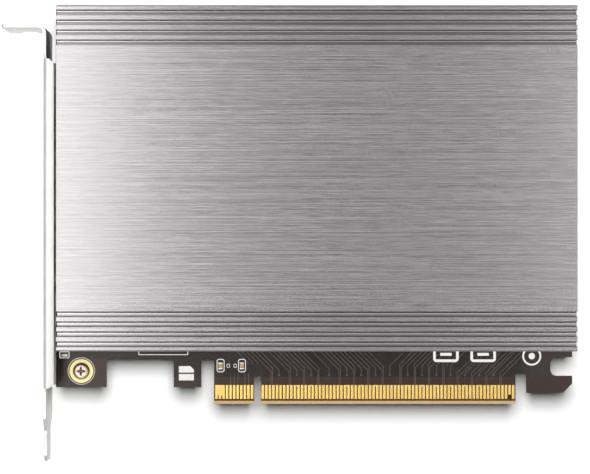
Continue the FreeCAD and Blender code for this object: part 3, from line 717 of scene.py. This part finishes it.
wear(coil_finish, *(f"power_coil_{n}" for n in (1, 2, 3, 4)))
wear(chip_finish, *(f"voltage_regulator_{n}" for n in (1, 2, 3, 4)), "clock_chip")
wear(reservoir_finish, "bulk_capacitor_1", "bulk_capacitor_2")
wear(lamp_finish, "status_lamps")


def add_block(shape, low, high, radius=0.0):
    """A block between two corners, its edges rounded."""
    size = high - low
    spot = Matrix.Translation((low + high) / 2) @ Matrix.Diagonal((*size, 1.0))
    verts = bmesh.ops.create_cube(shape, size=1.0, matrix=spot)["verts"]
    if radius:
        edges = list({e for v in verts for e in v.link_edges})
        bmesh.ops.bevel(shape, geom=edges, offset=radius, segments=3, profile=0.5, affect="EDGES",
                        material=-1)


def make_filter_capacitor(number):
    """One filter capacitor, its corners rounded by tumbling before the ends are dipped."""
    low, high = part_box(f"filter_capacitor_terminals_{number}")
    cap = (high.y - low.y) * cap_share
    for name, spans, finish, slot, inset in (
        (f"filter_capacitor_{number}", ((low.y + cap, high.y - cap),), ceramic_finish, "tan_ceramic",
         chip_body_inset),
        (f"filter_capacitor_terminals_{number}", ((low.y, low.y + cap), (high.y - cap, high.y)),
         tin_finish, "tinned_terminal", 0.0),
    ):
        shape = bmesh.new()
        for near, far in spans:
            add_block(shape, Vector((low.x + inset, near, low.z)),
                      Vector((high.x - inset, far, high.z - inset)), chip_edge_radius)
        piece = finish_piece(name + "_rounded", shape, finish, fine_part_smoothing)
        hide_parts(name)


def add_fillet(shape, place, way, half_width, rise, level):
    """The wedge of solder that climbs one end of a chip. Way is the unit step out of that end."""
    out = Vector((*way, 0.0))
    across = Vector((-out.y, out.x, 0.0)) * half_width
    foot = Vector((*place, level))
    lift = Vector((0.0, 0.0, rise))
    corners = [foot - across, foot + across, foot + across + lift, foot - across + lift]
    wall = shape.faces.new([shape.verts.new(c) for c in corners])
    made = bmesh.ops.extrude_face_region(shape, geom=[wall], use_keep_orig=True)["geom"]
    for vert in pick(made, BMVert):
        vert.co += out * solder_reach
        if abs(vert.co.z - level) > abs(rise) / 2:
            vert.co -= fillet_drop_share * lift + fillet_tuck_share * solder_reach * out


def make_solder_fillets():
    shape = bmesh.new()
    spots = []
    for number in (1, 2):
        for kind in ("filter", "bulk"):
            low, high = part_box(f"{kind}_capacitor_terminals_{number}")
            size = (high - low) / 2
            spots.append(((low + high) / 2, size.x, size.y, 2 * size.z, "Y"))
    low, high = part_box("status_lamp_terminals")
    for n in range(lamp_count):
        middle = Vector(((low.x + high.x) / 2, low.y + lamp_half + n * lamp_spacing, 0.0))
        spots.append((middle, lamp_half, (high.x - low.x) / 2, high.z - low.z, "X"))
    for middle, half_width, half_length, height, along in spots:
        for side in (-1, 1):
            way = (side, 0.0) if along == "X" else (0.0, side)
            place = (middle.x + way[0] * half_length, middle.y + way[1] * half_length)
            add_fillet(shape, place, way, half_width, solder_rise_share * height, board_high.z)
    for number in component_side_pairs:
        for n in (number, number + 1):
            for side in (-1, 1):
                add_fillet(shape, (contact_x(n), coupling_middle + side * coupling_half), (0.0, side),
                           coupling_half_width, -coupling_fillet_rise, board_low.z)
    finish_piece("solder_fillets", shape, tin_finish)


for chip in (1, 2):
    make_filter_capacitor(chip)
make_solder_fillets()


# Module bays. Each has an edge socket moulded in black nylon with gold springs along its slot, a
# threaded brass standoff with its small screw, and a soft thermal pad under the sink's deck.
spring_pitch = 0.5 * mm
spring_width = 0.22 * mm
spring_thickness = 0.1 * mm
spring_count = 37
spring_setback = 0.3 * mm
socket_slot_level = 2.1 * mm
socket_slot_depth = 2.6 * mm

socket_finish = make_plain_finish("moulded_nylon", shade(27, 27, 28), shade(34, 34, 35), 0.002,
                                  0.00012, 0.00001, 0.5, 0.12)
standoff_finish = make_plain_finish("plated_standoff", shade(170, 164, 150), shade(192, 187, 175),
                                    0.0015, 0.00008, 0.000003, 0.3, 0.12, Metallic=1.0)
pad_finish = make_plain_finish("thermal_putty", shade(118, 134, 150), shade(134, 148, 162), 0.003,
                               0.0003, 0.00003, 0.8, 0.1)


def make_socket_springs():
    """The springs that stand in the lower jaw of each socket, in front of its slot."""
    shape = bmesh.new()
    foot = board_high.z + socket_slot_level
    for bay in (1, 2, 3, 4):
        low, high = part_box(f"module_socket_{bay}")
        middle = (low.y + high.y) / 2
        way = 1.0 if low.x < 0 else -1.0
        mouth = high.x if way > 0 else low.x
        for n in range(spring_count):
            y = middle + (n - (spring_count - 1) / 2) * spring_pitch
            ends = sorted((mouth - way * socket_slot_depth, mouth - way * spring_setback))
            add_block(shape, Vector((ends[0], y - spring_width / 2, foot)),
                      Vector((ends[1], y + spring_width / 2, foot + spring_thickness)))
    finish_piece("socket_springs", shape, ring_finish)


for bay in (1, 2, 3, 4):
    wear(socket_finish, f"module_socket_{bay}")
    wear(ring_finish, f"module_socket_pins_{bay}")
    wear(standoff_finish, f"module_standoff_{bay}")
    wear(pad_finish, f"thermal_pad_{bay}")
make_socket_springs()


# Heat sink. An aluminium extrusion, sawn to length, its deck brushed lengthways and anodised clear.
# Painted shade and painted highlights lie in the grooves. Rails along both long edges stand on the
# board.
scratch_grit = 7500.0
# The belt's scratches, each with its length and its share of the tone
scratch_layers = ((0.5 * mm, 0.4), (6 * mm, 0.34), (40 * mm, 0.4), (300 * mm, 0.34))
scratch_depth = 0.0000008
tone_reach = 0.13
die_line_scale = (40.0, 9000.0, 9000.0)
groove_margin = 1.0 * mm
groove_floor = sink_high.z - 2.5 * mm
groove_floor_slack = 0.3 * mm
groove_land = 1.3 * mm
groove_width = 1.37 * mm
groove_spacing = 2.74 * mm
# Shares of a groove's width, from its lower wall, between which its floor's painted shade and highlight
# change
low_band_fade, low_band_shade_from = (0.1, 0.72), 0.74
high_band_fade, high_band_highlight, high_band_shade_from = (0.2, 0.5), (0.6, 0.8), 0.91
# Faces are told apart by how far their normals lean along an axis
square_on = 0.9
slanted = 0.5


def make_brushing(tree, place):
    """Scratches of four lengths, each as fine as the belt's grit, as a tone about nought."""
    tone = None
    for length, share in scratch_layers:
        scratches = add_noise(tree, place, (1 / length, scratch_grit, scratch_grit), 1.0)
        layer = product(tree, sum_up(tree, "SUBTRACT", scratches, 0.5), share)
        tone = sum_up(tree, "ADD", tone, layer) if tone else layer
    return tone


def make_groove_floors(tree, rise, skin_and_groove_shade):
    """The floors of the grooves, with painted shade and painted highlights. Each is painted brightest
    toward its upper wall and ends in painted shade beside it, in each band in its own way."""
    middle = (sink_low.y + sink_high.y) / 2
    first_groove = spread_over(tree, above(tree, rise, middle), 0.0, 1.0,
                               sink_low.y + groove_land, sink_high.y - groove_land - groove_width)
    grooves = sum_up(tree, "DIVIDE", sum_up(tree, "SUBTRACT", rise, first_groove), groove_spacing)
    across = product(tree, sum_up(tree, "FRACT", grooves), groove_spacing / groove_width)
    low_band = mix(tree, spread_over(tree, across, *low_band_fade), shade(92, 90, 91),
                   shade(142, 139, 140))
    low_band = mix(tree, above(tree, across, low_band_shade_from), low_band, skin_and_groove_shade)
    high_band = mix(tree, spread_over(tree, across, *high_band_fade), shade(99, 97, 98),
                    shade(79, 77, 78))
    high_band = mix(tree, spread_over(tree, across, *high_band_highlight), high_band, shade(158, 155, 156))
    high_band = mix(tree, above(tree, across, high_band_shade_from), high_band, skin_and_groove_shade)
    return mix(tree, below(tree, rise, middle), high_band, low_band)


def make_sink_finish():
    finish, tree, shader = new_finish("brushed_aluminium", Metallic=1.0)
    place = object_place(tree)
    axes = add_node(tree, "SeparateXYZ", {0: place}).outputs
    tone = make_brushing(tree, place)
    brushed = mix(tree, spread_over(tree, tone, -tone_reach, tone_reach), shade(107, 104, 105),
                  shade(134, 131, 132))
    # Faces that the belt can't reach: die lines along the walls, saw marks across the ends
    die_lines = add_noise(tree, place, die_line_scale, 3.0)
    extruded = mix(tree, die_lines, shade(104, 103, 105), shade(138, 137, 139))
    # Painted shade: inside the grooves the walls and the floors' corners are painted near black, where
    # shade falls
    skin_and_groove_shade = mix(tree, die_lines, shade(22, 20, 21), shade(38, 36, 37))
    saw_marks = add_waves(tree, place, scale=700.0, distortion=2.0, detail_scale=1.5,
                          wave_type="RINGS", rings_direction="X")
    sawn = mix(tree, saw_marks, shade(120, 119, 121), shade(150, 149, 151))
    facing = face_direction(tree)
    flat = sum_up(tree, "ABSOLUTE", facing["Z"])
    wall = below(tree, flat, slanted)
    end = above(tree, sum_up(tree, "ABSOLUTE", facing["X"]), square_on)
    over_grooves = between(tree, axes["Y"], sink_low.y + groove_margin, sink_high.y - groove_margin)
    in_grooves = product(tree, over_grooves, above(tree, axes["Z"], groove_floor))
    # Walls inside the grooves take the painted shade
    side = mix(tree, in_grooves, extruded, skin_and_groove_shade)
    side = mix(tree, end, side, sawn)
    colour = mix(tree, wall, brushed, side)
    at_floor = between(tree, axes["Z"], groove_floor - groove_floor_slack,
                       groove_floor + groove_floor_slack)
    level_floor = product(tree, above(tree, flat, square_on), at_floor)
    on_floor = product(tree, level_floor, over_grooves)
    # The groove floors take their painted shade and painted highlights
    colour = mix(tree, on_floor, colour, make_groove_floors(tree, axes["Y"], skin_and_groove_shade))
    # Painted highlight: the grooves' chamfers that face toward the contacts are painted bright
    painted_edge_highlight = product(tree, in_grooves, between(tree, facing["Y"], -square_on, -slanted))
    colour = mix(tree, painted_edge_highlight, colour, shade(172, 169, 170))
    roughness = mix(tree, wall, spread_over(tree, tone, -tone_reach, tone_reach, 0.178, 0.27),
                    spread_over(tree, die_lines, 0.3, 0.7, 0.36, 0.48))
    bump = add_node(tree, "Bump", {"Height": tone, "Distance": scratch_depth})
    join_up(tree, shader, Base_Color=colour, Roughness=roughness, Normal=bump.outputs[0])
    return finish


wear(make_sink_finish(), "heat_sink")


# Screws. Nickel-plated steel pan heads with a cross recess, turned and thread-rolled. Two hold the
# board to the bracket's ears, six hold the heat sink from the solder side.
screw_grid = 13
recess_arm_cells = 3
recess_depth = 1.15 * mm
recess_taper = 0.12
recess_rim_cells = 1.2
shank_radius = 1.22 * mm
point_radius = 1.02 * mm
point_length = 0.2 * mm
# The outside of the head, from the rounded crown down and in to the shank
head_profile = ((1.76 * mm, 1.75 * mm), (1.98 * mm, 1.62 * mm), (2.14 * mm, 1.4 * mm),
                (2.25 * mm, 1.1 * mm), (2.31 * mm, 0.78 * mm), (2.35 * mm, 0.4 * mm),
                (2.35 * mm, 0.0), (shank_radius, 0.0))
flat_radius = 1.5 * mm
round_from = 0.6 * flat_radius
head_height = 1.8 * mm
thread_pitch = 0.45 * mm
thread_steps = 24
thread_depth = 0.03 * mm
thread_start = 0.8 * mm
thread_free_length = 1.2 * mm
thread_root = 1.2 * mm
ridge_half = 0.4 * thread_pitch
bracket_screw_length = 4.2 * mm
sink_screw_length = 6.0 * mm

screw_finish = make_plain_finish("nickel_plating", shade(150, 134, 122), shade(180, 165, 154), 0.0012,
                                 0.00006, 0.000001, 0.33, 0.08, Metallic=1.0)
wear(screw_finish, "module_screws")


def turn_screw(length):
    """One screw standing on its shank, the underside of its head at nought."""
    shape = bmesh.new()
    grid = bmesh.ops.create_grid(shape, x_segments=screw_grid, y_segments=screw_grid, size=flat_radius,
                                 matrix=Matrix.Translation((0.0, 0.0, head_height)))["verts"]
    cell = 2 * flat_radius / screw_grid
    arm = recess_arm_cells * cell / 2
    rim = [e for e in shape.edges if e.is_boundary]
    for vert in grid:
        reach = max(abs(vert.co.x), abs(vert.co.y))
        if reach > round_from:
            rounded = vert.co.xy.normalized() * reach
            vert.co.xy = vert.co.xy.lerp(rounded, (reach - round_from) / (flat_radius - round_from))
    middles = {f: f.calc_center_median().xy for f in shape.faces}
    cross = [f for f, middle in middles.items() if min(abs(middle.x), abs(middle.y)) < arm
             and middle.length < flat_radius - recess_rim_cells * cell]
    pit = bmesh.ops.extrude_face_region(shape, geom=cross)["geom"]
    floor = pick(pit, BMVert)
    bmesh.ops.delete(shape, geom=cross, context="FACES")
    bmesh.ops.translate(shape, verts=floor, vec=(0.0, 0.0, -recess_depth))
    bmesh.ops.scale(shape, verts=floor, vec=(recess_taper, recess_taper, 1.0))
    radius = flat_radius
    for reach, height in (*head_profile, (shank_radius, point_length - length), (point_radius, -length)):
        made = bmesh.ops.extrude_edge_only(shape, edges=rim)["geom"]
        rim = [e for e in pick(made, BMEdge) if e.is_boundary]
        verts = list({v for e in rim for v in e.verts})
        bmesh.ops.scale(shape, verts=verts, vec=(reach / radius, reach / radius, 1.0))
        bmesh.ops.translate(shape, verts=verts, vec=(0.0, 0.0, height - verts[0].co.z))
        radius = reach
    bmesh.ops.contextual_create(shape, geom=rim)
    # The thread is a ridge wound down the shank
    turns = int((length - thread_free_length) / thread_pitch)
    ridge = [shape.verts.new((reach, 0.0, rise - thread_start)) for reach, rise in (
        (thread_root, ridge_half), (shank_radius + thread_depth, 0.0), (thread_root, -ridge_half))]
    edges = [shape.edges.new(pair) for pair in zip(ridge, ridge[1:])]
    bmesh.ops.spin(shape, geom=ridge + edges, cent=(0.0, 0.0, 0.0), axis=(0.0, 0.0, 1.0),
                   dvec=(0.0, 0.0, -thread_pitch / thread_steps), angle=math.tau * turns,
                   steps=thread_steps * turns)
    bmesh.ops.recalc_face_normals(shape, faces=shape.faces[:])
    return make_mesh("screw", shape)


def set_out(one, places, turned_over):
    """Copies of one built screw at several places."""
    whole = bmesh.new()
    turn = Matrix.Rotation(math.pi if turned_over else 0.0, 4, "X")
    for place in places:
        first = len(whole.verts)
        whole.from_mesh(one)
        whole.verts.ensure_lookup_table()
        bmesh.ops.transform(whole, matrix=Matrix.Translation(place) @ turn, verts=whole.verts[first:])
    bpy.data.meshes.remove(one)
    return whole


def make_screws(node, length, places, turned_over):
    """All the screws of one kind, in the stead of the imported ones."""
    shape = set_out(turn_screw(length), places, turned_over)
    piece = finish_piece(node + "_threaded", shape, screw_finish, fine_part_smoothing)
    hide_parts(node)


make_screws("bracket_screws", bracket_screw_length,
            [(*place, contacts_high.z) for place in (low_screw, high_screw)], False)
make_screws("heat_sink_screws", sink_screw_length,
            [(*place, board_low.z) for place in sink_screw_places], True)


# Mounting bracket. Sheet steel, blanked, folded and nickel plated, with lips along both edges and
# two ears that the board is screwed to. Tumbling takes the sharpness off every cut edge.
bracket_edge_radius = 0.08 * mm
bracket_merge_distance = 0.002 * mm
# Faces that meet at less than the first angle, in degrees, are one, and past the second are sharp
bracket_flat_angle = 1.0
bracket_sharp_angle = 35

bracket_finish = make_plain_finish("plated_sheet", shade(180, 180, 177), shade(194, 194, 191), 0.006,
                                   0.00015, 0.000003, 0.46, 0.08, Metallic=1.0)
wear(bracket_finish, "bracket")


def make_bracket():
    shape = bmesh.new()
    shape.from_mesh(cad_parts["bracket"].data)
    bmesh.ops.remove_doubles(shape, verts=shape.verts[:], dist=bracket_merge_distance)
    bmesh.ops.dissolve_limit(shape, angle_limit=math.radians(bracket_flat_angle), verts=shape.verts[:],
                             edges=shape.edges[:], delimit=set())
    sharp = [e for e in shape.edges if len(e.link_faces) == 2
             and e.calc_face_angle() > math.radians(bracket_sharp_angle)]
    bmesh.ops.bevel(shape, geom=sharp, offset=bracket_edge_radius, segments=2, profile=0.5,
                    affect="EDGES", material=-1, clamp_overlap=True)
    piece = finish_piece("bracket_tumbled", shape, bracket_finish, bracket_sharp_angle)
    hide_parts("bracket")


make_bracket()


# Table. A white top just below the card, which keeps the card's shadow and fades into the white
# background farther out. From below it can be seen through.
table_half = 1.5
table_drop = 0.05 * mm
table_middle = (0.01, 0.045)
table_fade = (0.16, 0.4)
table_lit = (0.75, 0.75, 0.75, 1.0)
table_seen = (1.25, 1.25, 1.25, 1.0)
white = (1.0, 1.0, 1.0, 1.0)


def seen_directly(tree):
    """One for what the camera sees, also mirrored or through a clear thing, and nought for the rays
    that light other things."""
    rays = add_node(tree, "LightPath").outputs
    mirrored = sum_up(tree, "MAXIMUM", rays["Is Glossy Ray"], rays["Is Transmission Ray"])
    return sum_up(tree, "MAXIMUM", rays["Is Camera Ray"], mirrored)


def make_table():
    shape = bmesh.new()
    bmesh.ops.create_grid(shape, x_segments=1, y_segments=1, size=table_half)
    bmesh.ops.translate(shape, verts=shape.verts[:], vec=(*table_middle, cad_box[0].z - table_drop))
    mesh = make_mesh("table", shape)
    table = add_object("table", mesh)
    finish = bpy.data.materials.new("white_table")
    finish.use_nodes = True
    tree = finish.node_tree
    tree.nodes.clear()
    seen = seen_directly(tree)
    near = add_node(tree, "BsdfDiffuse", {"Color": mix(tree, seen, table_lit, table_seen)})
    far = add_node(tree, "Emission", {"Color": white, "Strength": seen})
    distance = add_node(tree, "VectorMath", {0: object_place(tree), 1: (*table_middle, 0.0)},
                        operation="DISTANCE").outputs["Value"]
    shown = add_node(tree, "MixShader", {0: spread_over(tree, distance, *table_fade),
                                         1: near.outputs[0], 2: far.outputs[0]})
    under = add_node(tree, "NewGeometry").outputs["Backfacing"]
    clear = add_node(tree, "BsdfTransparent")
    whole = add_node(tree, "MixShader", {0: under, 1: shown.outputs[0], 2: clear.outputs[0]})
    add_node(tree, "OutputMaterial", {"Surface": whole.outputs[0]})
    mesh.materials.append(finish)


make_table()


# Studio. A soft box above and behind gives the light and the short shadow below the card, two at
# the sides are seen only in the metal, and the room is white.
studio_middle = Vector((0.0105, 0.0467, 0.0))
top_box_setback = 0.49
room_light = 0.045


def hang_soft_box(name, place, width, length, power, in_metal, on_surfaces):
    """A soft box that faces the card, its length along the card's height. It is seen in the metal,
    or gives light to the surfaces, or both."""
    lamp = bpy.data.lights.new(name, "AREA")
    lamp.shape = "RECTANGLE"
    lamp.size, lamp.size_y, lamp.energy = width, length, power
    box = add_object(name, lamp)
    box.location = place
    box.rotation_mode = "QUATERNION"
    back = (Vector(place) - studio_middle).normalized()
    side = Vector((0.0, 1.0, 0.0)).cross(back).normalized()
    box.rotation_quaternion = Matrix((side, back.cross(side), back)).transposed().to_quaternion()
    box.visible_glossy, box.visible_diffuse = in_metal, on_surfaces
    box.visible_camera = False
    return box


top_soft_box = hang_soft_box("top_soft_box", (studio_middle.x, studio_middle.y + top_box_setback, 1.16),
                             width=0.85, length=0.95, power=17.0, in_metal=False, on_surfaces=True)
hang_soft_box("left_soft_box", (-0.203, studio_middle.y, 0.982), width=0.161, length=1.6, power=5.6,
              in_metal=True, on_surfaces=False)
hang_soft_box("right_soft_box", (0.305, studio_middle.y, 1.1), width=0.083, length=1.6, power=2.5,
              in_metal=True, on_surfaces=False)

# The top box is flagged off the tall metal, so that the board's own edge throws the short shadow
flags = bpy.data.collections.new("flagged_off")
for piece in (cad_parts["heat_sink"], bpy.data.objects["bracket_tumbled"]):
    flags.objects.link(piece)
for flagged in flags.collection_objects:
    flagged.light_linking.link_state = "EXCLUDE"
top_soft_box.light_linking.blocker_collection = flags

room = bpy.data.worlds.new("room")
bpy.context.scene.world = room
room.use_nodes = True
brightness = spread_over(room.node_tree, seen_directly(room.node_tree), 0.0, 1.0, room_light, 1.0)
fill_in(room.node_tree, room.node_tree.nodes["Background"], {"Color": white, "Strength": brightness})

bpy.context.scene.view_settings.view_transform = "Standard"


# Camera. Straight above the card, far enough for the sink's deck to be as wide as in the picture,
# with a long lens that shows as much of the board's level as the picture does.
camera_rise = 0.700
picture_width_on_board = 0.16503
picture_middle = (0.01048, 0.04671)
sensor_width = 36.0
lens = bpy.data.cameras.new("camera")
lens.sensor_width = sensor_width
lens.lens = sensor_width * camera_rise / picture_width_on_board
lens.clip_start, lens.clip_end = 0.05, 20.0
camera = add_object("camera", lens)
camera.location = (*picture_middle, board_high.z + camera_rise)
bpy.context.scene.camera = camera
